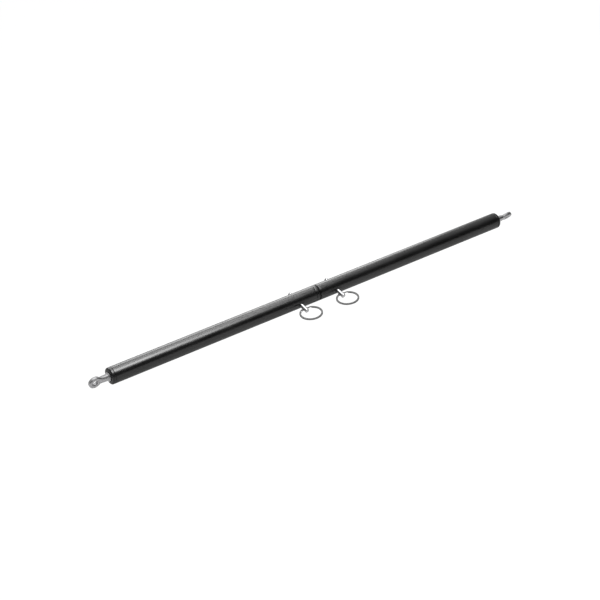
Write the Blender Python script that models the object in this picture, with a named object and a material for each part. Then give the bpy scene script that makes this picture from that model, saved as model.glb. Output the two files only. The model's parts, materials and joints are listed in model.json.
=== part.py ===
"""Telescoping bed cargo bar with a steel eye at each end.

Two tubes of the same diameter meet at a seam and slide apart on a longer tube
inside them. A detent pin through each tube locks it to a hole of the inner
tube, and each pin carries a two-turn split ring. The bar lies along X on the
floor at Z = 0, with the heads of its pins sloping down to the front (-Y).
"""

import math

import bmesh
import bpy
from mathutils import Matrix, Vector

MM = 0.001
GAP = 0.3 * MM                  # clearance between pieces that touch

# Tubes
TUBE_R = 12.7 * MM
TUBE_WALL = 1.6 * MM
INNER_R = 9.525 * MM
INNER_WALL = 1.6 * MM
INNER_HALF = 300.0 * MM         # the inner tube reaches this far each side of the seam
TUBE_CHAMFER = 0.35 * MM
LEFT_LENGTH = 365.0 * MM        # from the seam to the outer face of the end plug
RIGHT_LENGTH = 372.0 * MM

# Guide bushings at the seam, one in the mouth of each outer tube
LEFT_FLANGE = 5.0 * MM
RIGHT_FLANGE = 1.6 * MM
BUSHING_DEPTH = 24.0 * MM
SEAM_GAP = 0.6 * MM

# Plugs that carry the ends of the inner tube along the outer tubes
GLIDE_RIM = 6.0 * MM
GLIDE_SPIGOT = 16.0 * MM
GLIDE_BORE_R = 4.0 * MM

# End plugs
PLUG_FLANGE = 5.0 * MM
PLUG_ROUNDING = 2.2 * MM
PLUG_SPIGOT = 20.0 * MM
PLUG_BORE_R = 4.3 * MM

# Eye bolts, washers and nuts. Distances run outwards from the plug's face.
BOLT_R = 4.0 * MM
BOLT_INSIDE = 36.0 * MM
COLLAR_R = 7.0 * MM
COLLAR_THICK = 2.0 * MM
NECK_R = 5.2 * MM
NECK_TIP_R = 3.0 * MM
EYE_CENTRE = 23.3 * MM
EYE_RING_R = 6.7 * MM           # middle of the eye's section
EYE_SECTION = 5.4 * MM
EYE_THICK = 6.4 * MM
EYE_ROUNDING = 1.8 * MM
LEFT_EYE_TURN = math.radians(113.0)
RIGHT_EYE_TURN = math.radians(137.5)
WASHER_R = 8.0 * MM
WASHER_THICK = 1.6 * MM
NUT_FLATS = 13.0 * MM
NUT_THICK = 6.5 * MM

# Detent pins. Distances run along the pin from the bar's axis to its head.
PIN_R = 2.95 * MM
PIN_HOLE_R = 3.2 * MM
PIN_HEAD_R = 3.45 * MM
PIN_HEAD_END = 28.0 * MM
PIN_TIP = -18.4 * MM
PIN_CHAMFER = 1.1 * MM          # at the tip
PIN_FROM_MOUTH = 30.8 * MM      # from the mouth of each outer tube
PIN_SLOPE = math.radians(18.2)  # below the horizontal
PIN_SPIN = math.radians(4.4)    # of the ring's hole, about the pin's axis
HOLE_PITCH = 38.1 * MM
HOLES_PER_SIDE = 7

# Detent balls, each on a spring across its pin
BALL_AT = -15.3 * MM
BALL_R = 1.15 * MM
BALL_SEAT_R = 1.35 * MM
BALL_CENTRE = 2.3 * MM          # from the pin's axis
SEAT_BOTTOM = 1.6 * MM          # past the pin's axis
SPRING_WIRE_R = 0.16 * MM
SPRING_R = 0.85 * MM
SPRING_TURNS = 3.5

# Split rings
RING_R = 16.5 * MM              # middle of the strip
RING_STRIP = 2.7 * MM           # radial width
RING_LAYER = 1.2 * MM           # thickness of one turn
RING_SPLIT = 0.1 * MM           # between the two turns
RING_HOLE_AT = 21.5 * MM        # along the pin
RING_HOLE_R = 2.3 * MM
RING_SAG = 0.18 * MM            # centres the curved strip in its straight hole
RING_LIFT = math.radians(11.15)  # of the ring's plane above the pin's axis
JOG_START = math.radians(14.0)  # where the strip steps from one turn to the other
JOG_END = math.radians(36.0)

# Steps of the turned and swept shapes
TUBE_STEPS = 40
BOLT_STEPS = 24
SMALL_STEPS = 16
RING_STEPS = 80
SPRING_STEPS = 36

# The origin is the middle of the bar's footprint
SEAM_X = (LEFT_LENGTH - RIGHT_LENGTH) / 2
RING_REACH = RING_R - RING_SAG + RING_R + RING_STRIP / 2
RING_DROP = PIN_SLOPE - RING_LIFT
RING_THICK = 2 * RING_LAYER + RING_SPLIT
FRONT_REACH = (RING_HOLE_AT * math.cos(PIN_SLOPE) + RING_REACH * math.cos(RING_DROP)
               + RING_THICK / 2 * math.sin(RING_DROP))
BACK_REACH = -PIN_TIP * math.cos(PIN_SLOPE) + (PIN_R - PIN_CHAMFER) * math.sin(PIN_SLOPE)
BAR_Y = (FRONT_REACH - BACK_REACH) / 2

TUBE_BORE = TUBE_R - TUBE_WALL
INNER_BORE = INNER_R - INNER_WALL
LEFT_MOUTH = SEAM_GAP / 2 + LEFT_FLANGE + GAP
RIGHT_MOUTH = SEAM_GAP / 2 + RIGHT_FLANGE + GAP


def clear_scene():
    for old in list(bpy.data.objects):
        bpy.data.objects.remove(old, do_unlink=True)


def material(name, colour, roughness, metallic):
    made = bpy.data.materials.new(name)
    made.use_nodes = True
    shader = made.node_tree.nodes["Principled BSDF"]
    shader.inputs["Base Color"].default_value = (*colour, 1.0)
    shader.inputs["Roughness"].default_value = roughness
    shader.inputs["Metallic"].default_value = metallic
    return made


def empty(name, parent, location, rotation=None):
    made = bpy.data.objects.new(name, None)
    bpy.context.scene.collection.objects.link(made)
    made.parent = parent
    made.location = location
    if rotation is not None:
        made.rotation_euler = rotation.to_euler()
    return made


def facing(forward, side):
    """Rotation that turns local Z along forward and local X as near to side as it can be."""
    z_axis = Vector(forward).normalized()
    x_axis = (Vector(side) - z_axis * z_axis.dot(Vector(side))).normalized()
    y_axis = z_axis.cross(x_axis)
    return Matrix((x_axis, y_axis, z_axis)).transposed()


def add_piece(name, mesh, parent, finish, location=(0, 0, 0), rotation=None):
    made = bpy.data.objects.new(name, mesh)
    bpy.context.scene.collection.objects.link(made)
    made.parent = parent
    made.location = location
    if rotation is not None:
        made.rotation_euler = rotation.to_euler()
    if finish is not None:
        mesh.materials.append(finish)
    mesh.shade_smooth()
    mesh.set_sharp_from_angle(angle=math.radians(32))
    return made


def turned(name, outline, steps, hollow=True):
    """Mesh turned about Z from (radius, z) points; a solid one starts and ends on the axis."""
    shape = bmesh.new()
    corners = [shape.verts.new((radius, 0, z)) for radius, z in outline]
    edges = [shape.edges.new(pair) for pair in zip(corners, corners[1:])]
    if hollow:
        edges.append(shape.edges.new((corners[-1], corners[0])))
    bmesh.ops.spin(shape, geom=corners + edges, cent=(0, 0, 0), axis=(0, 0, 1),
                   angle=math.tau, steps=steps, use_merge=True, use_duplicate=False)
    bmesh.ops.remove_doubles(shape, verts=shape.verts, dist=1e-6)
    bmesh.ops.recalc_face_normals(shape, faces=shape.faces)
    mesh = bpy.data.meshes.new(name)
    shape.to_mesh(mesh)
    shape.free()
    return mesh


def arc(centre_r, centre_z, radius, start, end, steps):
    """Points of an arc in (radius, z), with angles in degrees from the radial direction."""
    points = []
    for step in range(steps + 1):
        angle = math.radians(start + (end - start) * step / steps)
        points.append((centre_r + radius * math.cos(angle), centre_z + radius * math.sin(angle)))
    return points


def swept(name, frames, section):
    """Closed strip through frames of (centre, across, along), with a cap at each end."""
    shape = bmesh.new()
    loops = []
    for centre, across, along in frames:
        loop = [shape.verts.new(centre + across * a + along * b) for a, b in section]
        loops.append(loop)
    count = len(section)
    for near, far in zip(loops, loops[1:]):
        for i in range(count):
            j = (i + 1) % count
            shape.faces.new((near[i], near[j], far[j], far[i]))
    shape.faces.new(loops[0])
    shape.faces.new(loops[-1])
    bmesh.ops.recalc_face_normals(shape, faces=shape.faces)
    mesh = bpy.data.meshes.new(name)
    shape.to_mesh(mesh)
    shape.free()
    return mesh


def cylinders(name, parent, radius, length, steps, places):
    """Cutter of equal cylinders, each at a (location, rotation)."""
    shape = bmesh.new()
    for location, rotation in places:
        place = Matrix.Translation(location) @ rotation.to_4x4()
        bmesh.ops.create_cone(shape, cap_ends=True, segments=steps, radius1=radius,
                              radius2=radius, depth=length, matrix=place)
    mesh = bpy.data.meshes.new(name)
    shape.to_mesh(mesh)
    shape.free()
    cutter = add_piece(name, mesh, parent, None)
    hide(cutter)
    return cutter


def hide(guide):
    guide.hide_render = True
    guide.display_type = "WIRE"


def combine(piece, tool, operation):
    step = piece.modifiers.new(tool.name, "BOOLEAN")
    step.operation = operation
    step.object = tool
    step.solver = "EXACT"


def tube_outline(outer, bore, start, end, chamfer):
    return [(bore, start), (outer - chamfer, start), (outer, start + chamfer),
            (outer, end - chamfer), (outer - chamfer, end), (bore, end)]


def build_inner_tube(bar, finishes):
    outline = tube_outline(INNER_R, INNER_BORE, -INNER_HALF, INNER_HALF, TUBE_CHAMFER)
    mesh = turned("inner_tube", outline, TUBE_STEPS)
    tube = add_piece("inner_tube", mesh, bar, finishes["plated"], rotation=ALONG_BAR)
    holes = []
    for first, outwards in ((LEFT_PIN_X, -1), (RIGHT_PIN_X, 1)):
        for index in range(HOLES_PER_SIDE):
            at = first + outwards * index * HOLE_PITCH
            holes.append((Vector((at, 0, 0)), PIN_TURN))
    cutter = cylinders("inner_tube_holes", bar, PIN_HOLE_R, 4 * TUBE_R, SMALL_STEPS, holes)
    combine(tube, cutter, "DIFFERENCE")


def build_inner_plugs(bar, finishes):
    """Plugs in the ends of the inner tube, whose rims glide in the outer tubes."""
    rim_r = TUBE_BORE - GAP
    spigot_r = INNER_BORE - GAP
    lead = 1.0 * MM
    outline = [(GLIDE_BORE_R, -GLIDE_SPIGOT), (spigot_r - lead, -GLIDE_SPIGOT),
               (spigot_r, -GLIDE_SPIGOT + lead), (spigot_r, GAP), (rim_r - lead, GAP),
               (rim_r, GAP + lead), (rim_r, GLIDE_RIM - lead), (rim_r - lead, GLIDE_RIM),
               (GLIDE_BORE_R, GLIDE_RIM)]
    for side, outwards in (("left", -1), ("right", 1)):
        mesh = turned(side + "_inner_plug", outline, BOLT_STEPS)
        add_piece(side + "_inner_plug", mesh, bar, finishes["nylon"],
                  location=(outwards * INNER_HALF, 0, 0),
                  rotation=facing((outwards, 0, 0), (0, 0, 1)))


def build_half(side, outwards, bar, mouth, flange, length, pin_x, eye_turn, finishes):
    """One outer tube with its bushing, end plug, eye bolt, washer and nut.

    Inside this function Z runs outwards along the bar from the seam.
    """
    half = empty(side + "_half", bar, (0, 0, 0), facing((outwards, 0, 0), (0, 0, 1)))
    face = length - PLUG_FLANGE

    outline = tube_outline(TUBE_R, TUBE_BORE, mouth, face - GAP, TUBE_CHAMFER)
    mesh = turned(side + "_outer_tube", outline, TUBE_STEPS)
    tube = add_piece(side + "_outer_tube", mesh, half, finishes["black_coat"])
    hole = [(Vector((pin_x, 0, 0)), PIN_TURN)]
    cutter = cylinders(side + "_pin_hole", bar, PIN_HOLE_R, 4 * TUBE_R, SMALL_STEPS, hole)
    combine(tube, cutter, "DIFFERENCE")

    add_piece(side + "_guide_bushing", bushing_mesh(side, mouth, flange), half,
              finishes["black_plastic"])
    add_piece(side + "_end_plug", plug_mesh(side), half, finishes["black_plastic"],
              location=(0, 0, face))
    build_eye_bolt(side, half, length, eye_turn, finishes)


def bushing_mesh(side, mouth, flange):
    sleeve_r = TUBE_BORE - GAP
    bore = INNER_R + GAP
    lead = 0.5 * MM
    edge = 0.25 * MM
    front = mouth - GAP - flange
    back = mouth - GAP
    end = mouth + BUSHING_DEPTH
    outline = [(bore, front + edge), (bore + edge, front), (TUBE_R - edge, front),
               (TUBE_R, front + edge), (TUBE_R, back - edge), (TUBE_R - edge, back),
               (sleeve_r, back), (sleeve_r, end - lead), (sleeve_r - lead, end), (bore, end)]
    return turned(side + "_guide_bushing", outline, TUBE_STEPS)


def plug_mesh(side):
    """End plug, from the back of its flange: a rounded rim outside, a spigot inside."""
    back_edge = 0.5 * MM
    lead = 1.0 * MM
    spigot_r = TUBE_BORE - GAP
    outline = [(PLUG_BORE_R, -PLUG_SPIGOT), (spigot_r - lead, -PLUG_SPIGOT),
               (spigot_r, -PLUG_SPIGOT + lead), (spigot_r, 0), (TUBE_R - back_edge, 0),
               (TUBE_R, back_edge)]
    outline += arc(TUBE_R - PLUG_ROUNDING, PLUG_FLANGE - PLUG_ROUNDING, PLUG_ROUNDING, 0, 90, 4)
    outline += [(PLUG_BORE_R, PLUG_FLANGE)]
    return turned(side + "_end_plug", outline, TUBE_STEPS)


def build_eye_bolt(side, half, length, eye_turn, finishes):
    """An eye bolt through the end plug, with the washer and nut that hold it inside the tube."""
    seat = length + GAP
    world_side = Vector((0, math.cos(eye_turn), math.sin(eye_turn)))
    turn_in_half = half.rotation_euler.to_matrix().inverted() @ world_side
    place = facing((0, 0, 1), turn_in_half)

    chamfer = 0.8 * MM
    fillet = 1.2 * MM
    edge = 0.5 * MM
    neck_end = EYE_CENTRE - EYE_RING_R
    outline = [(0, -BOLT_INSIDE), (BOLT_R - chamfer, -BOLT_INSIDE),
               (BOLT_R, -BOLT_INSIDE + chamfer), (BOLT_R, 0), (COLLAR_R - edge, 0),
               (COLLAR_R, edge), (COLLAR_R, COLLAR_THICK - edge), (COLLAR_R - edge, COLLAR_THICK)]
    outline += arc(NECK_R + fillet, COLLAR_THICK + fillet, fillet, 270, 180, 3)
    outline += [(NECK_R, neck_end - 4.0 * MM), (NECK_TIP_R, neck_end), (0, neck_end)]
    mesh = turned(side + "_eye_bolt", outline, BOLT_STEPS, hollow=False)
    bolt = add_piece(side + "_eye_bolt", mesh, half, finishes["plated"],
                     location=(0, 0, seat), rotation=place)

    across = EYE_SECTION / 2
    deep = EYE_THICK / 2
    outline = []
    for quarter in range(4):
        centre_r = (across - EYE_ROUNDING) * (1 if quarter in (0, 3) else -1)
        centre_z = (deep - EYE_ROUNDING) * (1 if quarter in (0, 1) else -1)
        outline += arc(EYE_RING_R + centre_r, centre_z, EYE_ROUNDING,
                       90 * quarter, 90 * quarter + 90, 2)
    mesh = turned(side + "_eye_ring", outline, BOLT_STEPS + 4)
    ring = add_piece(side + "_eye_ring", mesh, bolt, finishes["plated"],
                     location=(0, 0, EYE_CENTRE - GAP), rotation=facing((0, 1, 0), (0, 0, 1)))
    hide(ring)
    combine(bolt, ring, "UNION")

    washer_z = length - PLUG_FLANGE - PLUG_SPIGOT - GAP - WASHER_THICK
    outline = tube_outline(WASHER_R, PLUG_BORE_R, 0, WASHER_THICK, 0.2 * MM)
    add_piece(side + "_eye_washer", turned(side + "_eye_washer", outline, BOLT_STEPS), half,
              finishes["plated"], location=(0, 0, washer_z))
    add_piece(side + "_eye_nut", nut_mesh(side), half, finishes["plated"],
              location=(0, 0, washer_z - GAP - NUT_THICK))


def nut_mesh(side):
    corner = NUT_FLATS / math.sqrt(3)
    chamfer = 0.7 * MM
    outline = [(PLUG_BORE_R, 0), (corner - chamfer, 0), (corner, chamfer),
               (corner, NUT_THICK - chamfer), (corner - chamfer, NUT_THICK),
               (PLUG_BORE_R, NUT_THICK)]
    mesh = turned(side + "_eye_nut", outline, BOLT_STEPS - 2)
    flats = NUT_FLATS / 2
    for vertex in mesh.vertices:
        angle = math.atan2(vertex.co.y, vertex.co.x)
        off_flat = (angle + math.pi / 6) % (math.pi / 3) - math.pi / 6
        limit = flats / math.cos(off_flat)
        radius = math.hypot(vertex.co.x, vertex.co.y)
        if radius > limit:
            vertex.co.x *= limit / radius
            vertex.co.y *= limit / radius
    return mesh


def build_pin(side, bar, pin_x, finishes):
    """A detent pin with its ball, spring and split ring.

    Z runs along the pin to its head, and X along the ring's hole.
    """
    axis = empty(side + "_pin_axis", bar, (pin_x, 0, 0), PIN_TURN)
    edge = 0.6 * MM
    shoulder = TUBE_R + GAP
    outline = [(0, PIN_TIP), (PIN_R - PIN_CHAMFER, PIN_TIP),
               (PIN_R - 0.3 * PIN_CHAMFER, PIN_TIP + 0.35 * PIN_CHAMFER),
               (PIN_R, PIN_TIP + PIN_CHAMFER), (PIN_R, shoulder), (PIN_HEAD_R, shoulder),
               (PIN_HEAD_R, PIN_HEAD_END - edge), (PIN_HEAD_R - edge, PIN_HEAD_END),
               (0, PIN_HEAD_END)]
    mesh = turned(side + "_pin", outline, SMALL_STEPS, hollow=False)
    pin = add_piece(side + "_pin", mesh, axis, finishes["bright_steel"])
    across = facing((1, 0, 0), (0, 0, 1))
    hole = [(Vector((0, 0, RING_HOLE_AT)), across)]
    combine(pin, cylinders(side + "_ring_hole", axis, RING_HOLE_R, 4 * PIN_HEAD_R, SMALL_STEPS,
                           hole), "DIFFERENCE")
    seat_length = SEAT_BOTTOM + 2 * PIN_R
    seat = [(Vector((SEAT_BOTTOM - seat_length / 2, 0, BALL_AT)), across)]
    combine(pin, cylinders(side + "_ball_seat", axis, BALL_SEAT_R, seat_length, SMALL_STEPS // 2,
                           seat), "DIFFERENCE")

    ball = turned(side + "_detent_ball", arc(0, 0, BALL_R, -90, 90, 8), SMALL_STEPS // 2,
                  hollow=False)
    add_piece(side + "_detent_ball", ball, axis, finishes["bright_steel"],
              location=(-BALL_CENTRE, 0, BALL_AT), rotation=across)
    add_piece(side + "_detent_spring", spring_mesh(side), axis, finishes["spring_steel"],
              location=(0, 0, BALL_AT), rotation=across)
    add_piece(side + "_split_ring", ring_mesh(side), axis, finishes["plated"],
              location=(0, 0, RING_HOLE_AT), rotation=Matrix.Rotation(-RING_LIFT, 3, "X"))


def spring_mesh(side):
    """Helical spring about Z, between the ball and the bottom of its seat."""
    low = -BALL_CENTRE + BALL_R * 0.72 + SPRING_WIRE_R
    high = SEAT_BOTTOM - GAP / 2 - SPRING_WIRE_R
    frames = []
    for step in range(SPRING_STEPS + 1):
        part = step / SPRING_STEPS
        angle = math.tau * SPRING_TURNS * part
        out = Vector((math.cos(angle), math.sin(angle), 0))
        frames.append((out * SPRING_R + Vector((0, 0, low + (high - low) * part)), out,
                       Vector((0, 0, 1))))
    corners = [math.tau * i / 5 for i in range(5)]
    section = [(SPRING_WIRE_R * math.cos(a), SPRING_WIRE_R * math.sin(a)) for a in corners]
    return swept(side + "_detent_spring", frames, section)


def ring_mesh(side):
    """Two-turn ring through the origin. Z runs out to its middle and Y across its plane."""
    start = JOG_END + math.radians(0.5)
    end = 2 * math.tau + JOG_START - math.radians(0.5)
    layer = (RING_LAYER + RING_SPLIT) / 2
    frames = []
    for step in range(RING_STEPS + 1):
        angle = start + (end - start) * step / RING_STEPS
        along_jog = (angle - math.tau - JOG_START) / (JOG_END - JOG_START)
        along_jog = min(max(along_jog, 0.0), 1.0)
        rise = along_jog * along_jog * (3 - 2 * along_jog)
        out = Vector((math.sin(angle), 0, -math.cos(angle)))
        centre = out * RING_R + Vector((0, layer * (2 * rise - 1), RING_R - RING_SAG))
        frames.append((centre, out, Vector((0, 1, 0))))
    half = RING_STRIP / 2
    deep = RING_LAYER / 2
    section = [(half, -deep), (half, deep), (-half, deep), (-half, -deep)]
    return swept(side + "_split_ring", frames, section)


PIN_DIRECTION = Vector((0, -math.cos(PIN_SLOPE), -math.sin(PIN_SLOPE)))
UP_FROM_PIN = Vector((0, -math.sin(PIN_SLOPE), math.cos(PIN_SLOPE)))
RING_AXIS = Vector((math.cos(PIN_SPIN), 0, 0)) + UP_FROM_PIN * math.sin(PIN_SPIN)
PIN_TURN = facing(PIN_DIRECTION, RING_AXIS)
ALONG_BAR = facing((1, 0, 0), (0, 0, 1))
LEFT_PIN_X = -(LEFT_MOUTH + PIN_FROM_MOUTH)
RIGHT_PIN_X = RIGHT_MOUTH + PIN_FROM_MOUTH


def main():
    clear_scene()
    finishes = {
        "black_coat": material("black_coat", (0.012, 0.012, 0.013), 0.28, 0.0),
        "black_plastic": material("black_plastic", (0.014, 0.014, 0.015), 0.5, 0.0),
        "plated": material("plated", (0.62, 0.63, 0.64), 0.3, 1.0),
        "bright_steel": material("bright_steel", (0.8, 0.8, 0.81), 0.16, 1.0),
        "spring_steel": material("spring_steel", (0.45, 0.45, 0.46), 0.35, 1.0),
        "nylon": material("nylon", (0.03, 0.03, 0.032), 0.55, 0.0),
    }
    bar = empty("bar", None, (SEAM_X, BAR_Y, TUBE_R))
    build_inner_tube(bar, finishes)
    build_inner_plugs(bar, finishes)
    build_half("left", -1, bar, LEFT_MOUTH, LEFT_FLANGE, LEFT_LENGTH, LEFT_PIN_X, LEFT_EYE_TURN,
               finishes)
    build_half("right", 1, bar, RIGHT_MOUTH, RIGHT_FLANGE, RIGHT_LENGTH, RIGHT_PIN_X,
               RIGHT_EYE_TURN, finishes)
    build_pin("left", bar, LEFT_PIN_X, finishes)
    build_pin("right", bar, RIGHT_PIN_X, finishes)


main()
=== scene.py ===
"""Looks of a telescoping bed cargo bar with a steel eye at each end.

Every CAD node is replaced by a detailed piece that is built here in the same place.
Pieces are modelled about their own Z axis, in metres, and then set on the bar.
"""

import math

import bmesh
import bpy
from mathutils import Matrix, Vector
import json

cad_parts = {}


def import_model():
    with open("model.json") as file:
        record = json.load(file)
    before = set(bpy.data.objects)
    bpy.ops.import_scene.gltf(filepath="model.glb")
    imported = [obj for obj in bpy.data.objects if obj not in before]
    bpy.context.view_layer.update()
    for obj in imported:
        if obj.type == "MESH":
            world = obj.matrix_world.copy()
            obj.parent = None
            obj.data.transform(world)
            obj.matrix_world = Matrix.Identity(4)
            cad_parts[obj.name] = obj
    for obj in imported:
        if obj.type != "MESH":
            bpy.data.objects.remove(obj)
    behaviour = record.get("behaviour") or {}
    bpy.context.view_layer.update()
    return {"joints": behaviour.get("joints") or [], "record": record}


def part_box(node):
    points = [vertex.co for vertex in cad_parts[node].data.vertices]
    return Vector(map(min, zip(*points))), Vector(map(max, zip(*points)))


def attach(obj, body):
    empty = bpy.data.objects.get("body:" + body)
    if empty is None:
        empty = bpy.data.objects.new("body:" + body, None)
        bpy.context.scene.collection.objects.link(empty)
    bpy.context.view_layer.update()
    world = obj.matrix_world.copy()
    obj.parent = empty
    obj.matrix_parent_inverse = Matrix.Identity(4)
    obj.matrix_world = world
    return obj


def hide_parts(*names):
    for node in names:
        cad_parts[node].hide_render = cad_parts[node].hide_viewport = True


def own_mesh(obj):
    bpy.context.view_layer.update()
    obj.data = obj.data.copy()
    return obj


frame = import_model()
joints = {joint["name"]: joint for joint in frame["joints"]}

MM = 0.001
SIDES = {"left": -1, "right": 1}

# Places read from the frame
tube_low, tube_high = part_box("left_outer_tube")
TUBE_R = (tube_high.z - tube_low.z) / 2
BAR = Vector((0, (tube_low.y + tube_high.y) / 2, (tube_low.z + tube_high.z) / 2))

# Tubes
TUBE_WALL = 1.6 * MM
INNER_R = 9.525 * MM
INNER_WALL = 1.6 * MM
GAP = 0.3 * MM
PIN_HOLE_R = 3.2 * MM
CUTTER_LENGTH = 60 * MM         # longer than any hole is deep
HOLE_PITCH = 38.1 * MM
HOLES_PER_SIDE = 7

# Plugs and eye bolts
PLUG_FLANGE = 5.0 * MM
PLUG_ROUNDING = 2.2 * MM
PLUG_BORE_R = 4.3 * MM
BOLT_R = 4.0 * MM
THREAD_PITCH = 1.25 * MM
COLLAR_R = 7.0 * MM
COLLAR_THICK = 2.0 * MM
NECK_R = 5.2 * MM
EYE_CENTRE = 23.0 * MM          # from the seat of the collar
EYE_RING_R = 6.7 * MM
EYE_SECTION = 5.4 * MM
EYE_THICK = 6.4 * MM
NUT_FLATS = 13.0 * MM
GLIDE_BORE_R = 4.0 * MM

# Pins, along the pin from the bar's axis
PIN_R = 2.95 * MM
PIN_HEAD_R = 3.45 * MM
PIN_HEAD_END = 28.0 * MM
PIN_TIP = -18.4 * MM
PIN_NOSE_START = -16.8 * MM     # painted dark reflection from here to the tip
RING_HOLE_R = 2.3 * MM
BALL_AT = -15.3 * MM
BALL_R = 1.15 * MM
BALL_SEAT_R = 1.35 * MM
BALL_CENTRE = 2.3 * MM
SEAT_BOTTOM = 1.6 * MM
SPRING_WIRE_R = 0.16 * MM
SPRING_R = 0.85 * MM
SPRING_TURNS = 3.5
SPRING_STEPS = 168
SPRING_CONTACT = 0.72           # of the ball's radius, where the spring bears on it

# Split rings
RING_R = 16.5 * MM
RING_STRIP = 2.7 * MM
RING_LAYER = 1.2 * MM
RING_SPLIT = 0.1 * MM
RING_ROUNDNESS = 2.7            # 2 is an oval wire, and a larger number a flatter strip
RING_SAG = 0.18 * MM
RING_LIFT = math.radians(11.15)
JOG_START = math.radians(14.0)
JOG_END = math.radians(36.0)
RING_STEPS = 420
RING_WIRE_STEPS = 20
RING_END_GAP = math.radians(0.5)
RING_NIB = math.radians(5)      # the wire's ends are ground down over this much of a turn

# Neck of the eye, in millimetres: height over the seat, half width, half thickness
NECK_STATIONS = [(1.0, 5.3, 5.3), (2.0, 5.5, 5.5), (3.6, 5.15, 5.15), (6.0, 5.1, 5.1),
                 (9.0, 5.2, 4.9), (12.0, 5.5, 4.4), (14.5, 6.1, 3.8), (16.5, 6.9, 3.1),
                 (18.0, 6.8, 2.4)]

# Camera
AIM = Vector((-0.0329, 0.0190, 0.0111))
AZIMUTH = math.radians(33.37)
ELEVATION = math.radians(24.97)
ROLL = math.radians(-6.5)
DISTANCE = 2.328
LENS = 91.9
SENSOR = 36

# Paper under the bar
PAPER_DROP = 52 * MM
PAPER_APART = 0.2 * MM
PAPER_R = 60.0


# ---------------------------------------------------------------- shapes

def facing(forward, side):
    """Rotation that turns local Z along forward and local X as near to side as it can be."""
    z_axis = Vector(forward).normalized()
    x_axis = (Vector(side) - z_axis * z_axis.dot(Vector(side))).normalized()
    return Matrix((x_axis, z_axis.cross(x_axis), z_axis)).transposed()


def placed(origin, rotation):
    return Matrix.Translation(origin) @ rotation.to_4x4()


def rounded(corners, steps=4):
    """Outline from (radius, z, rounding) corners, as (radius, z, edge) with edge 1 on a rounding."""
    points = []
    count = len(corners)
    for index, (r, z, size) in enumerate(corners):
        here = Vector((r, z))
        if size <= 0:
            points.append((r, z, 0.0))
            continue
        before = (Vector(corners[index - 1][:2]) - here).normalized()
        after = (Vector(corners[(index + 1) % count][:2]) - here).normalized()
        half = before.angle(after) / 2
        reach = size / math.tan(half)
        centre = here + (before + after).normalized() * (size / math.sin(half))
        start = here + before * reach - centre
        turn = start.angle_signed(here + after * reach - centre)
        for step in range(steps + 1):
            spoke = Matrix.Rotation(-turn * step / steps, 2) @ start
            worn = math.sin(math.pi * step / steps)
            points.append((centre.x + spoke.x, centre.y + spoke.y, worn))
    return points


def mesh_from(name, rows, faces, edges_worn=None):
    mesh = bpy.data.meshes.new(name)
    mesh.from_pydata(rows, [], faces)
    if edges_worn is not None:
        worn = mesh.attributes.new("edge", "FLOAT", "POINT")
        worn.data.foreach_set("value", edges_worn)
    mesh.update()
    return mesh


def turned(name, outline, steps, hollow=True):
    """Mesh turned about Z from (radius, z, edge) points that run down the outside first."""
    rows = []
    worn = []
    rings = []
    for r, z, edge in outline:
        if r < 1e-7:
            rings.append([len(rows)])
            rows.append((0, 0, z))
            worn.append(edge)
            continue
        ring = []
        for step in range(steps):
            angle = math.tau * step / steps
            ring.append(len(rows))
            rows.append((r * math.cos(angle), r * math.sin(angle), z))
            worn.append(edge)
        rings.append(ring)
    faces = []
    pairs = list(zip(rings, rings[1:]))
    if hollow:
        pairs.append((rings[-1], rings[0]))
    for near, far in pairs:
        for step in range(steps):
            after = (step + 1) % steps
            corners = [near[step % len(near)], near[after % len(near)],
                       far[after % len(far)], far[step % len(far)]]
            faces.append(list(dict.fromkeys(corners)))
    mesh = mesh_from(name, rows, faces, worn)
    point_out(mesh)
    return mesh


def point_out(mesh):
    shape = bmesh.new()
    shape.from_mesh(mesh)
    bmesh.ops.recalc_face_normals(shape, faces=shape.faces)
    shape.to_mesh(mesh)
    shape.free()


def swept(name, loops, worn=None):
    """Closed skin over equal loops of points, with a cap at each end."""
    count = len(loops[0])
    rows = [point for loop in loops for point in loop]
    faces = [list(range(count))[::-1], [len(rows) - count + i for i in range(count)]]
    for index in range(len(loops) - 1):
        start = index * count
        for i in range(count):
            j = (i + 1) % count
            faces.append((start + i, start + j, start + count + j, start + count + i))
    mesh = mesh_from(name, rows, faces, worn)
    point_out(mesh)
    return mesh


def add(name, mesh, place, finish, body=None, node=None, sharp=35):
    """Shows a mesh as a piece that rides on a body and stands for a CAD node."""
    piece = bpy.data.objects.new(name, mesh)
    bpy.context.scene.collection.objects.link(piece)
    piece.matrix_world = place
    if finish is not None:
        mesh.materials.clear()
        mesh.materials.append(finish)
    mesh.shade_smooth()
    mesh.set_sharp_from_angle(angle=math.radians(sharp))
    if body is not None:
        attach(piece, body)
        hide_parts(node)
    return piece


def cylinder(radius, length, place, steps=48):
    mesh = turned("cutter", [(radius, length / 2, 0), (radius, -length / 2, 0)], steps, hollow=False)
    shape = bmesh.new()
    shape.from_mesh(mesh)
    bmesh.ops.holes_fill(shape, edges=shape.edges)
    bmesh.ops.recalc_face_normals(shape, faces=shape.faces)
    shape.to_mesh(mesh)
    shape.free()
    mesh.transform(place)
    return mesh


def combined(mesh, tools, operation):
    """The mesh after a Boolean with each tool mesh, all in the same coordinates."""
    base = bpy.data.objects.new("base", mesh)
    bpy.context.scene.collection.objects.link(base)
    helpers = []
    for tool in tools:
        helper = bpy.data.objects.new("tool", tool)
        bpy.context.scene.collection.objects.link(helper)
        step = base.modifiers.new("step", "BOOLEAN")
        step.operation = operation
        step.solver = "EXACT"
        step.object = helper
        helpers.append(helper)
    return settled(base, helpers)


def settled(base, helpers=()):
    """A mesh with the modifiers of its object applied; the objects are then removed."""
    bpy.context.view_layer.update()
    graph = bpy.context.evaluated_depsgraph_get()
    result = bpy.data.meshes.new_from_object(base.evaluated_get(graph))
    for helper in (base, *helpers):
        bpy.data.objects.remove(helper)
    return result


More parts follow.
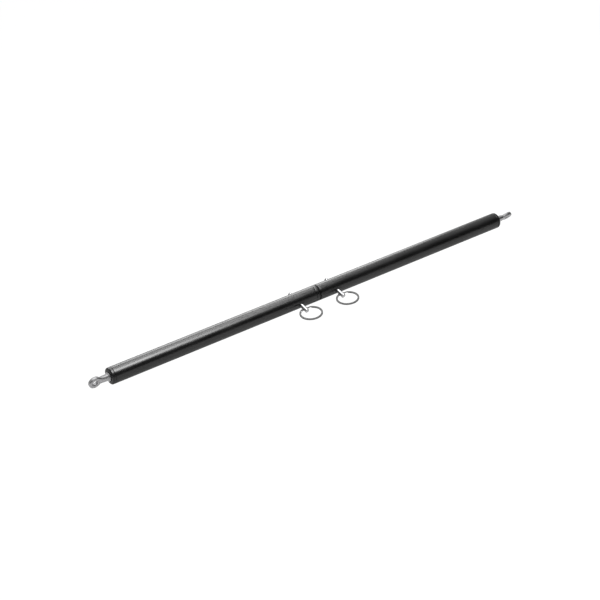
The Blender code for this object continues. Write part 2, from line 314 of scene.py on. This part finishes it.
def bevelled(mesh, width, angle=50, segments=2):
    """Rounds the edges that a cut left."""
    base = bpy.data.objects.new("base", mesh)
    bpy.context.scene.collection.objects.link(base)
    step = base.modifiers.new("bevel", "BEVEL")
    step.width = width
    step.segments = segments
    step.limit_method = "ANGLE"
    step.angle_limit = math.radians(angle)
    step.use_clamp_overlap = True
    return settled(base)


# ------------------------------------------------------------- materials

class Finish:
    """A Principled material with short calls for its nodes. Coordinates are the piece's own."""

    def __init__(self, name, colour, roughness, metallic=0.0, **inputs):
        self.made = bpy.data.materials.new(name + "_finish")
        self.made.use_nodes = True
        self.tree = self.made.node_tree
        self.shader = self.tree.nodes["Principled BSDF"]
        self.shader.inputs["Base Color"].default_value = (*colour, 1)
        self.shader.inputs["Roughness"].default_value = roughness
        self.shader.inputs["Metallic"].default_value = metallic
        for socket, value in inputs.items():
            self.shader.inputs[socket.replace("_", " ")].default_value = value
        self.place = self.add("ShaderNodeTexCoord").outputs["Object"]

    def add(self, kind, **settings):
        node = self.tree.nodes.new(kind)
        for key, value in settings.items():
            setattr(node, key, value)
        return node

    def link(self, output, target):
        self.tree.links.new(output, target)

    def stretched(self, scale):
        node = self.add("ShaderNodeMapping")
        node.inputs["Scale"].default_value = scale
        self.link(self.place, node.inputs["Vector"])
        return node.outputs["Vector"]

    def noise(self, size, detail=3.0, rough=0.55, stretch=None):
        """Noise whose features are about size across, in metres."""
        node = self.add("ShaderNodeTexNoise")
        node.inputs["Scale"].default_value = 1 / size
        node.inputs["Detail"].default_value = detail
        node.inputs["Roughness"].default_value = rough
        source = self.place if stretch is None else self.stretched(stretch)
        self.link(source, node.inputs["Vector"])
        return node.outputs["Fac"]

    def ramp(self, value, low, high, out_low=0.0, out_high=1.0, smooth=False):
        node = self.add("ShaderNodeMapRange")
        node.interpolation_type = "SMOOTHSTEP" if smooth else "LINEAR"
        for socket, number in (("From Min", low), ("From Max", high), ("To Min", out_low),
                               ("To Max", out_high)):
            node.inputs[socket].default_value = number
        self.link(value, node.inputs["Value"])
        return node.outputs["Result"]

    def sum(self, first, second, operation="ADD"):
        node = self.add("ShaderNodeMath", operation=operation)
        for socket, value in zip(node.inputs, (first, second)):
            if isinstance(value, (int, float)):
                socket.default_value = value
            else:
                self.link(value, socket)
        return node.outputs["Value"]

    def blend(self, share, first, second):
        """A mix of two colours, each a tuple or an output."""
        node = self.add("ShaderNodeMix", data_type="RGBA")
        self.link(share, node.inputs["Factor"])
        for socket, value in ((node.inputs[6], first), (node.inputs[7], second)):
            if isinstance(value, tuple):
                socket.default_value = (*value, 1)
            else:
                self.link(value, socket)
        return node.outputs[2]

    def bump(self, layers):
        """Chains bumps from (height output, depth in metres) layers."""
        normal = None
        for height, depth in layers:
            node = self.add("ShaderNodeBump")
            node.inputs["Strength"].default_value = 1.0
            node.inputs["Distance"].default_value = depth
            self.link(height, node.inputs["Height"])
            if normal is not None:
                self.link(normal, node.inputs["Normal"])
            normal = node.outputs["Normal"]
        self.link(normal, self.shader.inputs["Normal"])

    def set(self, socket, output):
        self.link(output, self.shader.inputs[socket])

    def edge(self):
        node = self.add("ShaderNodeAttribute", attribute_name="edge")
        return node.outputs["Fac"]


def black_coat():
    """Gloss black powder coat: orange peel, faint handling marks, bare metal on worn edges."""
    f = Finish("black_coat", (0.002, 0.002, 0.002), 0.31, Specular_IOR_Level=0.95)
    peel = f.noise(2.4 * MM, 2.0, 0.45)
    grain = f.noise(0.45 * MM, 2.0, 0.5)
    marks = f.noise(14 * MM, 4.0, 0.6, stretch=(1, 1, 0.35))
    f.bump([(peel, 0.016 * MM), (grain, 0.0015 * MM)])
    worn = f.ramp(f.sum(f.edge(), f.noise(1.1 * MM, 3.0), "MULTIPLY"), 0.50, 0.60)
    haze = f.ramp(marks, 0.35, 0.75, 0.28, 0.34, smooth=True)
    f.set("Roughness", f.sum(haze, f.sum(worn, 0.14, "MULTIPLY")))
    tint = f.blend(f.ramp(marks, 0.4, 0.8), (0.0018, 0.0018, 0.0019), (0.0035, 0.0035, 0.0036))
    f.set("Base Color", f.blend(worn, tint, (0.32, 0.32, 0.33)))
    f.set("Metallic", worn)
    return f.made


def black_plastic(name, specular, roughness):
    """Moulded black nylon: fine spark texture over flow marks, paler where it is rubbed."""
    f = Finish(name, (0.003, 0.003, 0.003), roughness, Specular_IOR_Level=specular)
    spark = f.noise(0.28 * MM, 3.0, 0.6)
    flow = f.noise(6 * MM, 3.0, 0.5)
    f.bump([(spark, 0.004 * MM), (flow, 0.02 * MM)])
    rubbed = f.ramp(f.edge(), 0.35, 1.0)
    f.set("Roughness", f.ramp(spark, 0.3, 0.7, roughness - 0.03, roughness + 0.04))
    f.set("Base Color", f.blend(rubbed, (0.0025, 0.0025, 0.0026), (0.010, 0.010, 0.011)))
    return f.made


def zinc():
    """Satin zinc plate over a forged or pressed part: cloudy gloss and a soft uneven skin."""
    f = Finish("zinc", (0.70, 0.70, 0.71), 0.25, 1.0)
    cloud = f.noise(5 * MM, 4.0, 0.6)
    skin = f.noise(1.3 * MM, 3.0, 0.5)
    speck = f.noise(0.35 * MM, 2.0, 0.5)
    f.bump([(skin, 0.030 * MM), (speck, 0.004 * MM)])
    f.set("Roughness", f.ramp(cloud, 0.3, 0.75, 0.32, 0.42, smooth=True))
    f.set("Base Color", f.blend(f.ramp(cloud, 0.35, 0.7), (0.74, 0.74, 0.75), (0.64, 0.64, 0.65)))
    return f.made


def drawn_zinc():
    """Zinc-plated drawn tube: fine lines along it under a cloudy gloss."""
    f = Finish("drawn_zinc", (0.68, 0.69, 0.71), 0.26, 1.0)
    lines = f.noise(0.5 * MM, 3.0, 0.6, stretch=(1, 1, 0.012))
    cloud = f.noise(9 * MM, 4.0, 0.6)
    f.bump([(lines, 0.006 * MM)])
    f.set("Roughness", f.ramp(lines, 0.3, 0.7, 0.2, 0.38))
    f.set("Base Color", f.blend(f.ramp(cloud, 0.35, 0.7), (0.72, 0.73, 0.75), (0.60, 0.61, 0.64)))
    return f.made


def bright_steel():
    """Ground and plated pin: fine turning lines round it and faint sliding marks along it."""
    f = Finish("bright_steel", (0.72, 0.72, 0.73), 0.16, 1.0)
    turns = f.noise(0.22 * MM, 2.0, 0.5, stretch=(0.02, 0.02, 1))
    slides = f.noise(0.6 * MM, 3.0, 0.6, stretch=(1, 1, 0.03))
    f.bump([(turns, 0.0012 * MM)])
    f.set("Roughness", f.ramp(slides, 0.4, 0.8, 0.12, 0.22))
    f.set("Base Color", f.blend(f.ramp(slides, 0.5, 0.9), (0.74, 0.74, 0.75), (0.62, 0.62, 0.64)))
    return f.made


def painted_dark_reflection():
    """Painted dark reflection on the balls and the pins' noses: a matt near-black colour, a little
    paler in patches.
    """
    f = Finish("painted_dark_reflection", (0.010, 0.010, 0.011), 0.6, Specular_IOR_Level=0.08)
    patches = f.noise(0.5 * MM, 3.0, 0.5)
    f.bump([(f.noise(0.1 * MM, 2.0, 0.5), 0.001 * MM)])
    f.set("Roughness", f.ramp(patches, 0.3, 0.7, 0.52, 0.66))
    f.set("Base Color", f.blend(f.ramp(patches, 0.55, 0.75), (0.006, 0.006, 0.007), (0.02, 0.02, 0.02)))
    return f.made


def ring_nickel():
    """Nickel-plated spring steel: rolling lines along the strip and rubbed outer faces."""
    f = Finish("ring_nickel", (0.50, 0.50, 0.50), 0.28, 1.0)
    cloud = f.noise(4 * MM, 3.0, 0.6)
    fine = f.noise(0.18 * MM, 2.0, 0.5)
    f.bump([(fine, 0.003 * MM), (cloud, 0.01 * MM)])
    f.set("Roughness", f.ramp(cloud, 0.3, 0.7, 0.22, 0.34))
    rubbed = f.ramp(f.edge(), 0.3, 1.0)
    f.set("Base Color", f.blend(rubbed, (0.46, 0.46, 0.46), (0.56, 0.56, 0.56)))
    return f.made


def spring_steel():
    """Hard-drawn wire with a fine uneven gloss."""
    f = Finish("spring_steel", (0.42, 0.42, 0.43), 0.3, 1.0)
    drawn = f.noise(0.12 * MM, 2.0, 0.5)
    f.bump([(drawn, 0.003 * MM)])
    f.set("Roughness", f.ramp(drawn, 0.3, 0.7, 0.22, 0.38))
    return f.made


def nylon():
    """Dark moulded nylon of the hidden glides, with a fine grain."""
    f = Finish("nylon", (0.03, 0.03, 0.032), 0.5)
    spark = f.noise(0.4 * MM, 3.0, 0.6)
    f.bump([(spark, 0.008 * MM)])
    f.set("Roughness", f.ramp(spark, 0.3, 0.7, 0.42, 0.58))
    return f.made


# ---------------------------------------------------------------- pieces

def tube_skin(outer, bore, low, high, dense, edge=0.35 * MM):
    """Outline of a tube, with extra rings where holes are cut so that the cuts stay clean."""
    rings = sorted(set(dense) | {low + 8 * edge, high - 8 * edge}, reverse=True)
    outside = [(outer, z, 0) for z in rings]
    inside = [(bore, z, 0) for z in reversed(rings)]
    ends = rounded([(bore, high, edge / 2), (outer, high, edge), (outer, low, edge),
                    (bore, low, edge / 2)])
    top, bottom = ends[:10], ends[10:]
    return top + outside + bottom + inside


def pierced(mesh, holes):
    """Cuts round pin holes, given by their places."""
    cutters = [cylinder(PIN_HOLE_R, CUTTER_LENGTH, place) for place in holes]
    return combined(mesh, cutters, "DIFFERENCE")


def outer_tube(side, finish):
    low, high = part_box(side + "_outer_tube")
    middle = Vector(((low.x + high.x) / 2, BAR.y, BAR.z))
    half = (high.x - low.x) / 2
    pin = joints[side + "_pin_pull"]
    hole_z = pin_origin(side).x - middle.x
    dense = [hole_z + i * 0.7 * MM for i in range(-9, 10)]
    mesh = turned(side + "_outer_tube", tube_skin(TUBE_R, TUBE_R - TUBE_WALL, -half, half, dense), 144)
    turn = facing((1, 0, 0), (0, 0, 1))
    across = turn.inverted() @ Vector(pin["axis"])
    hole = placed((0, 0, hole_z), facing(across, (0, 0, 1)))
    mesh = bevelled(pierced(mesh, [hole]), 0.25 * MM)
    mark_rims(mesh, [(Vector((0, 0, hole_z)), across)], PIN_HOLE_R + 0.3 * MM)
    add(side + "_tube", mesh, placed(middle, turn), finish, side + "_half", side + "_outer_tube")


def mark_rims(mesh, holes, radius):
    """Sets the edge attribute at the rims of round holes."""
    worn = mesh.attributes.get("edge") or mesh.attributes.new("edge", "FLOAT", "POINT")
    for vertex in mesh.vertices:
        for centre, axis in holes:
            away = vertex.co - centre
            off_axis = (away - axis * away.dot(axis)).length
            if off_axis < radius:
                worn.data[vertex.index].value = 1.0


def pin_origin(side):
    """Where the pin's axis crosses the bar's axis."""
    hole = Vector(joints[side + "_ring_swing"]["pos_m"])
    direction = Vector(joints[side + "_pin_pull"]["axis"])
    return hole - direction * ((hole.z - BAR.z) / direction.z)


def inner_tube(finish):
    low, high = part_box("inner_tube")
    middle = Vector(((low.x + high.x) / 2, BAR.y, BAR.z))
    half = (high.x - low.x) / 2
    turn = facing((1, 0, 0), (0, 0, 1))
    across = turn.inverted() @ Vector(joints["left_pin_pull"]["axis"])
    places = []
    for side, outwards in SIDES.items():
        first = pin_origin(side).x - middle.x
        places += [first + outwards * i * HOLE_PITCH for i in range(HOLES_PER_SIDE)]
    dense = [at + i * 1.4 * MM for at in places for i in range(-3, 4)]
    mesh = turned("inner_tube", tube_skin(INNER_R, INNER_R - INNER_WALL, -half, half, dense), 72)
    holes = [placed((0, 0, at), facing(across, (0, 0, 1))) for at in places]
    mesh = pierced(mesh, holes)
    add("slide_tube", mesh, placed(middle, turn), finish, "core", "inner_tube")


def half_frame(side):
    """Rotation whose Z runs outwards along the bar, and the sign of that side."""
    outwards = SIDES[side]
    return facing((outwards, 0, 0), (0, 0, 1)), outwards


def guide_bushing(side, finish):
    low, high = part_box(side + "_guide_bushing")
    turn, outwards = half_frame(side)
    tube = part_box(side + "_outer_tube")
    front, end = (high.x, low.x) if outwards < 0 else (low.x, high.x)
    mouth = tube[1].x if outwards < 0 else tube[0].x
    length = abs(end - front)
    flange = abs(mouth - front) - GAP
    sleeve_r = TUBE_R - TUBE_WALL - GAP
    bore = INNER_R + GAP
    outline = rounded([(bore, length, 0.2 * MM), (sleeve_r, length, 0.5 * MM), (sleeve_r, flange, 0),
                       (TUBE_R, flange, 0.15 * MM), (TUBE_R, 0, 0.25 * MM), (bore, 0, 0.3 * MM)])
    mesh = turned(side + "_guide_bushing", outline, 144)
    add(side + "_bushing", mesh, placed((front, BAR.y, BAR.z), turn), finish, side + "_half",
        side + "_guide_bushing")


def end_plug(side, finish):
    low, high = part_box(side + "_end_plug")
    turn, outwards = half_frame(side)
    face = low.x if outwards < 0 else high.x
    inner = high.x if outwards < 0 else low.x
    depth = abs(face - inner) - PLUG_FLANGE
    spigot_r = TUBE_R - TUBE_WALL - GAP
    groove = 0.6 * MM
    corners = [(PLUG_BORE_R, 0, 0.3 * MM), (TUBE_R, 0, PLUG_ROUNDING), (TUBE_R, -PLUG_FLANGE, 0.4 * MM),
               (spigot_r - groove, -PLUG_FLANGE, 0.1 * MM)]
    ribs = 4
    pitch = (depth - 3 * MM) / ribs
    for index in range(ribs):
        start = -PLUG_FLANGE - 1.2 * MM - index * pitch
        corners += [(spigot_r - groove, start, 0.1 * MM), (spigot_r, start - 0.2 * MM, 0.15 * MM),
                    (spigot_r, start - pitch * 0.5, 0.3 * MM),
                    (spigot_r - groove, start - pitch * 0.8, 0.1 * MM)]
    corners += [(spigot_r - 2 * groove, -PLUG_FLANGE - depth, 0.3 * MM),
                (PLUG_BORE_R, -PLUG_FLANGE - depth, 0.2 * MM)]
    mesh = turned(side + "_end_plug", rounded(corners), 144)
    add(side + "_plug", mesh, placed((face, BAR.y, BAR.z), turn), finish, side + "_half",
        side + "_end_plug")


def eye_normal(side):
    mount = next(m for m in frame["record"]["mounts"] if m["name"] == side + "_eye_side")
    return Vector(mount["axis"])


def eye_forging():
    """The eye and its neck as one smooth forging. Z runs outwards and Y across the eye."""
    half = EYE_SECTION / 2
    deep = EYE_THICK / 2
    corners = [(EYE_RING_R - half, deep, 2.0 * MM), (EYE_RING_R + half, deep, 2.0 * MM),
               (EYE_RING_R + half, -deep, 2.0 * MM), (EYE_RING_R - half, -deep, 2.0 * MM)]
    eye = turned("eye", rounded(corners, 6), 96)
    eye.transform(placed((0, 0, EYE_CENTRE), facing((0, 1, 0), (0, 0, 1))))
    loops = []
    for z, wide, thick in NECK_STATIONS:
        loop = []
        for step in range(48):
            angle = math.tau * step / 48
            loop.append((wide * MM * math.cos(angle), thick * MM * math.sin(angle), z * MM))
        loops.append(loop)
    neck = swept("neck", loops)
    base = bpy.data.objects.new("base", combined(eye, [neck], "UNION"))
    bpy.context.scene.collection.objects.link(base)
    step = base.modifiers.new("remesh", "REMESH")
    step.mode = "VOXEL"
    step.voxel_size = 0.3 * MM
    smooth = base.modifiers.new("smooth", "SMOOTH")
    smooth.factor = 0.5
    smooth.iterations = 8
    return settled(base)


def thread(length):
    """Threaded shank under the collar: Z runs from -length to 0."""
    steps = 40
    per_turn = 8
    crest = BOLT_R
    root = BOLT_R - 0.6 * THREAD_PITCH
    rows = []
    count = int(length / THREAD_PITCH * per_turn)
    for level in range(count + 1):
        z = -length * level / count
        fade = min(1.0, -z / (3 * MM), (length + z) / (1.0 * MM) + 0.15)
        for step in range(steps):
            angle = math.tau * step / steps
            phase = (z / THREAD_PITCH + angle / math.tau) % 1.0
            ridge = min(1.0, max(0.0, abs(2 * phase - 1) * 1.5 - 0.2))
            r = root + (crest - root) * (ridge if fade >= 1 else 1 - fade * (1 - ridge))
            if length + z < 1.0 * MM:
                r = min(r, crest - 0.8 * (1.0 * MM - (length + z)))
            rows.append((r * math.cos(angle), r * math.sin(angle), z))
    loops = [rows[i:i + steps] for i in range(0, len(rows), steps)]
    return swept("thread", loops)


def eye_bolt(side, finish):
    outwards = SIDES[side]
    low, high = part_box(side + "_eye_bolt")
    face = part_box(side + "_end_plug")[0 if outwards < 0 else 1].x
    seat = face + outwards * GAP
    end = high.x if outwards < 0 else low.x
    normal = eye_normal(side)
    turn = facing((outwards, 0, 0), normal.cross(Vector((outwards, 0, 0))))
    edge = 0.45 * MM
    outline = [(0, COLLAR_THICK, 0)] + rounded(
        [(NECK_R - 1 * MM, COLLAR_THICK, 0), (COLLAR_R, COLLAR_THICK, edge), (COLLAR_R, 0, edge),
         (BOLT_R - 0.4 * MM, 0, 0), (BOLT_R - 0.4 * MM, -2 * MM, 0)]) + [(0, -2 * MM, 0)]
    collar = turned("collar", outline, 96, hollow=False)
    reach = abs(end - seat)
    overlap = 0.5 * MM
    shank = thread(reach)
    shank.transform(Matrix.Translation((0, 0, overlap))
                    @ Matrix.Scale((reach + overlap) / reach, 4, (0, 0, 1)))
    mesh = combined(eye_forging(), [collar, shank], "UNION")
    add(side + "_eye", mesh, placed((seat, BAR.y, BAR.z), turn), finish, side + "_half",
        side + "_eye_bolt")


def washer(side, finish):
    low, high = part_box(side + "_eye_washer")
    thick = high.x - low.x
    outer = (high.z - low.z) / 2
    edge = 0.15 * MM
    outline = rounded([(PLUG_BORE_R, thick, edge), (outer, thick, 0.3 * MM), (outer, 0, edge),
                       (PLUG_BORE_R, 0, edge)])
    mesh = turned(side + "_eye_washer", outline, 96)
    add(side + "_washer", mesh, placed((low.x, BAR.y, BAR.z), facing((1, 0, 0), (0, 0, 1))), finish,
        side + "_half", side + "_eye_washer")


def nut(side, finish):
    """Hexagon nut: a turned blank with chamfered faces, cut to six flats."""
    low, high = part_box(side + "_eye_nut")
    thick = high.x - low.x
    corner = NUT_FLATS / math.sqrt(3)
    outline = rounded([(PLUG_BORE_R, thick, 0.5 * MM), (corner - 1.0 * MM, thick, 0),
                       (corner, thick - 0.6 * MM, 0), (corner, 0.6 * MM, 0),
                       (corner - 1.0 * MM, 0, 0), (PLUG_BORE_R, 0, 0.5 * MM)])
    blank = turned(side + "_eye_nut", outline, 96)
    hexagon = cylinder(corner, 3 * thick, Matrix.Rotation(math.pi / 6, 4, "Z"), steps=6)
    mesh = combined(blank, [hexagon], "INTERSECT")
    add(side + "_nut", mesh, placed((low.x, BAR.y, BAR.z), facing((1, 0, 0), (0, 0, 1))), finish,
        side + "_half", side + "_eye_nut", sharp=25)


def inner_plug(side, finish):
    low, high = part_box(side + "_inner_plug")
    turn, outwards = half_frame(side)
    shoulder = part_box("inner_tube")[0 if outwards < 0 else 1].x + outwards * GAP
    rim = abs((low.x if outwards < 0 else high.x) - shoulder)
    spigot = abs((high.x if outwards < 0 else low.x) - shoulder)
    rim_r = (high.z - low.z) / 2
    spigot_r = INNER_R - INNER_WALL - GAP
    outline = rounded([(GLIDE_BORE_R, rim, 0.5 * MM), (rim_r, rim, 1.0 * MM),
                       (rim_r, 0, 0.6 * MM), (spigot_r, 0, 0), (spigot_r, -spigot, 1.0 * MM),
                       (GLIDE_BORE_R, -spigot, 0.5 * MM)])
    mesh = turned(side + "_inner_plug", outline, 96)
    add(side + "_glide", mesh, placed((shoulder, BAR.y, BAR.z), turn), finish, "core",
        side + "_inner_plug")


def pin_frame(side):
    """Rotation of a pin: Z along it to its head, X along the ring's hole."""
    return facing(joints[side + "_pin_pull"]["axis"], joints[side + "_ring_swing"]["axis"])


def pin(side, finish, reflection_paint_finish):
    origin = pin_origin(side)
    turn = pin_frame(side)
    ring_at = (Vector(joints[side + "_ring_swing"]["pos_m"]) - origin).length
    shoulder = TUBE_R + GAP
    outline = rounded([(0, PIN_HEAD_END, 0), (PIN_HEAD_R, PIN_HEAD_END, 0.7 * MM),
                       (PIN_HEAD_R, shoulder, 0.2 * MM), (PIN_R, shoulder, 0),
                       (PIN_R, PIN_NOSE_START, 0), (PIN_R, PIN_TIP, 1.1 * MM),
                       (0, PIN_TIP, 0)], 6)
    at_hole = [(PIN_HEAD_R, ring_at + i * 0.5 * MM, 0) for i in range(8, -9, -1)]
    outline = outline[:8] + at_hole + outline[8:]
    mesh = turned(side + "_pin", outline, 72, hollow=False)
    across = facing((1, 0, 0), (0, 0, 1))
    hole = cylinder(RING_HOLE_R, 20 * MM, placed((0, 0, ring_at), across))
    seat_length = SEAT_BOTTOM + 2 * PIN_R
    seat = cylinder(BALL_SEAT_R, seat_length,
                    placed((SEAT_BOTTOM - seat_length / 2, 0, BALL_AT), across), steps=32)
    mesh = bevelled(combined(mesh, [hole, seat], "DIFFERENCE"), 0.2 * MM)
    add(side + "_detent_pin", mesh, placed(origin, turn), finish, side + "_pin", side + "_pin")
    mesh.materials.append(reflection_paint_finish)
    # The nose past PIN_NOSE_START takes the painted dark reflection colour.
    for face in mesh.polygons:
        face.material_index = int(face.center.z < PIN_NOSE_START)

    # The ball takes the painted dark reflection colour too.
    outline = [(BALL_R * math.sin(math.pi * i / 32), BALL_R * math.cos(math.pi * i / 32), 0)
               for i in range(33)]
    ball = turned(side + "_detent_ball", [(0, BALL_R, 0)] + outline[1:-1] + [(0, -BALL_R, 0)], 48,
                  hollow=False)
    place = placed(origin, turn) @ placed((-BALL_CENTRE, 0, BALL_AT), across)
    add(side + "_ball", ball, place, reflection_paint_finish, side + "_ball", side + "_detent_ball")


def spring(side, finish):
    """Compression spring with its end turns closed."""
    low = -BALL_CENTRE + BALL_R * SPRING_CONTACT + SPRING_WIRE_R
    high = SEAT_BOTTOM - GAP / 2 - SPRING_WIRE_R
    loops = []
    for step in range(SPRING_STEPS + 1):
        part = step / SPRING_STEPS
        angle = math.tau * SPRING_TURNS * part
        rise = 0.5 - 0.5 * math.cos(math.pi * part)
        out = Vector((math.cos(angle), math.sin(angle), 0))
        centre = out * SPRING_R + Vector((0, 0, low + (high - low) * rise))
        loops.append([centre + (out * math.cos(a) + Vector((0, 0, math.sin(a)))) * SPRING_WIRE_R
                      for a in (math.tau * i / 10 for i in range(10))])
    mesh = swept(side + "_detent_spring", loops)
    place = placed(pin_origin(side), pin_frame(side)) @ placed((0, 0, BALL_AT),
                                                              facing((1, 0, 0), (0, 0, 1)))
    piece = add(side + "_spring", mesh, place, finish, side + "_pin", side + "_detent_spring")
    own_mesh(piece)


def split_ring(side, finish):
    """Two turns of flat wire with rounded corners; the strip steps over between the turns."""
    start = JOG_END + RING_END_GAP
    end = 2 * math.tau + JOG_START - RING_END_GAP
    layer = (RING_LAYER + RING_SPLIT) / 2
    half = RING_STRIP / 2
    deep = RING_LAYER / 2
    power = 2 / RING_ROUNDNESS
    section = []
    for point in range(RING_WIRE_STEPS):
        c = math.cos(math.tau * point / RING_WIRE_STEPS)
        q = math.sin(math.tau * point / RING_WIRE_STEPS)
        section.append((math.copysign(abs(c) ** power, c) * half,
                        math.copysign(abs(q) ** power, q) * deep, abs(c) ** 4))
    loops = []
    worn = []
    for step in range(RING_STEPS + 1):
        angle = start + (end - start) * step / RING_STEPS
        along_jog = (angle - math.tau - JOG_START) / (JOG_END - JOG_START)
        along_jog = min(max(along_jog, 0.0), 1.0)
        rise = along_jog * along_jog * (3 - 2 * along_jog)
        out = Vector((math.sin(angle), 0, -math.cos(angle)))
        from_end = min(angle - start, end - angle)
        nib = min(1.0, 0.55 + from_end / RING_NIB * 0.45)
        centre = out * RING_R + Vector((0, layer * (2 * rise - 1), RING_R - RING_SAG))
        loops.append([centre + out * (a * nib) + Vector((0, b, 0)) for a, b, _ in section])
        worn += [edge for _, _, edge in section]
    mesh = swept(side + "_split_ring", loops, worn)
    joint = joints[side + "_ring_swing"]
    place = placed(joint["pos_m"], pin_frame(side)) @ Matrix.Rotation(-RING_LIFT, 4, "X")
    add(side + "_ring", mesh, place, finish, side + "_ring", side + "_split_ring")


# ------------------------------------------------------- camera and light

def camera():
    """A 92 mm lens from the front left, a little rolled, as a hand-held camera would be."""
    back = Vector((-math.sin(AZIMUTH) * math.cos(ELEVATION),
                   -math.cos(AZIMUTH) * math.cos(ELEVATION), math.sin(ELEVATION)))
    lens = bpy.data.cameras.new("camera")
    lens.lens = LENS
    lens.sensor_width = SENSOR
    lens.clip_start = 0.05
    made = bpy.data.objects.new("camera", lens)
    bpy.context.scene.collection.objects.link(made)
    level = facing(back, (math.cos(AZIMUTH), -math.sin(AZIMUTH), 0))
    made.matrix_world = placed(AIM + back * DISTANCE, level @ Matrix.Rotation(ROLL, 3, "Z"))
    bpy.context.scene.camera = made


def area_light(name, place, aim, size, power):
    light = bpy.data.lights.new(name, "AREA")
    light.shape = "RECTANGLE"
    light.size, light.size_y = size
    light.energy = power
    made = bpy.data.objects.new(name, light)
    bpy.context.scene.collection.objects.link(made)
    towards = (Vector(place) - Vector(aim)).normalized()
    made.matrix_world = placed(place, facing(towards, (1, 0, 0)))


def lights():
    """Three strong lamps above and behind for the black tubes, two weak ones for the bright metal."""
    area_light("overhead", (0.0, -0.42, 1.30), (0, 0, 0), (1.0, 0.75), 20)
    area_light("top", (0.35, 0.36, 1.25), (0, 0, 0), (0.8, 0.5), 4.0)
    area_light("back", (0.30, 1.05, 0.68), (0, 0, 0), (1.4, 0.65), 10)
    area_light("fill", (-0.4, -1.3, 0.55), (0, 0, 0), (1.6, 1.0), 1.35)
    area_light("sky", (-0.1, -0.1, 1.20), (0, 0, 0), (1.6, 1.0), 4.0)


def share(lamp, names, state):
    """Lets a lamp light these pieces alone (INCLUDE), or everything else (EXCLUDE)."""
    chosen = bpy.data.collections.new(lamp + "_light")
    for name in names:
        chosen.objects.link(bpy.data.objects[name])
    for member in chosen.collection_objects:
        member.light_linking.link_state = state
    bpy.data.objects[lamp].light_linking.receiver_collection = chosen


def share_lamps():
    """The bright metal loops are left out of the strong lamps and have weak ones of their own."""
    eyes = [side + "_eye" for side in SIDES]
    rings = [side + "_ring" for side in SIDES]
    for lamp in ("overhead", "top", "back"):
        share(lamp, eyes + rings, "EXCLUDE")
    share("fill", eyes + rings, "INCLUDE")
    share("sky", eyes, "INCLUDE")


def world():
    """A room that is dim in front of the bar and lighter above and behind it."""
    made = bpy.data.worlds.new("studio")
    made.use_nodes = True
    tree = made.node_tree
    where = tree.nodes.new("ShaderNodeTexCoord")
    toward = tree.nodes.new("ShaderNodeVectorMath")
    toward.operation = "DOT_PRODUCT"
    toward.inputs[1].default_value = (0.10, 0.70, 0.70)
    tree.links.new(where.outputs["Generated"], toward.inputs[0])
    ramp = tree.nodes.new("ShaderNodeMapRange")
    ramp.interpolation_type = "SMOOTHSTEP"
    for socket, value in (("From Min", 0.0), ("From Max", 0.9), ("To Min", 0.03), ("To Max", 0.5)):
        ramp.inputs[socket].default_value = value
    tree.links.new(toward.outputs["Value"], ramp.inputs["Value"])
    tree.nodes["Background"].inputs["Color"].default_value = (1, 1, 1, 1)
    tree.links.new(ramp.outputs["Result"], tree.nodes["Background"].inputs["Strength"])
    bpy.context.scene.world = made


def sweep(name, drop, colour):
    """A plain round sheet of paper under the bar, and its shader."""
    shape = bmesh.new()
    bmesh.ops.create_circle(shape, cap_ends=True, segments=96, radius=PAPER_R)
    mesh = bpy.data.meshes.new(name)
    shape.to_mesh(mesh)
    shape.free()
    made = bpy.data.objects.new(name, mesh)
    made.location = (0, 0, -drop)
    bpy.context.scene.collection.objects.link(made)
    paper = Finish(name, (colour, colour, colour), 0.9, 0.0, Specular_IOR_Level=0.0)
    mesh.materials.append(paper.made)
    return made, paper


def floor():
    """White paper that the camera sees, and grey paper that the bar reflects.

    The white paper glows a little, and more so far out, where the lamps don't reach it.
    Both lie low enough for a ring that hangs from a pulled pin to clear them.
    """
    seen, paper = sweep("floor", PAPER_DROP, 0.09)
    seen.visible_glossy = False
    seen.visible_diffuse = False
    seen.visible_shadow = False
    away = paper.add("ShaderNodeVectorMath", operation="LENGTH")
    paper.link(paper.place, away.inputs[0])
    paper.shader.inputs["Emission Color"].default_value = (1, 1, 1, 1)
    paper.set("Emission Strength", paper.ramp(away.outputs["Value"], 0.2, 1.2, 0.93, 0.97, smooth=True))
    grey = sweep("floor_reflected", PAPER_DROP + PAPER_APART, 0.38)[0]
    grey.visible_camera = False


def main():
    bpy.context.scene.view_settings.view_transform = "Standard"
    camera()
    world()
    lights()
    floor()
    coat = black_coat()
    plastic = black_plastic("black_plastic", 0.85, 0.34)
    lips = {"left": black_plastic("rubbed_plastic", 0.95, 0.31),
            "right": black_plastic("dull_plastic", 0.20, 0.50)}
    plate = zinc()
    bright = bright_steel()
    # Painted dark reflection for the balls and the pins' noses.
    dark_reflection_paint = painted_dark_reflection()
    nickel = ring_nickel()
    wire = spring_steel()
    glide = nylon()
    inner_tube(drawn_zinc())
    for side in SIDES:
        outer_tube(side, coat)
        guide_bushing(side, lips[side])
        end_plug(side, plastic)
        eye_bolt(side, plate)
        washer(side, plate)
        nut(side, plate)
        inner_plug(side, glide)
        pin(side, bright, dark_reflection_paint)
        spring(side, wire)
        split_ring(side, nickel)
    share_lamps()


def write_sizes():
    import json


main()
write_sizes()
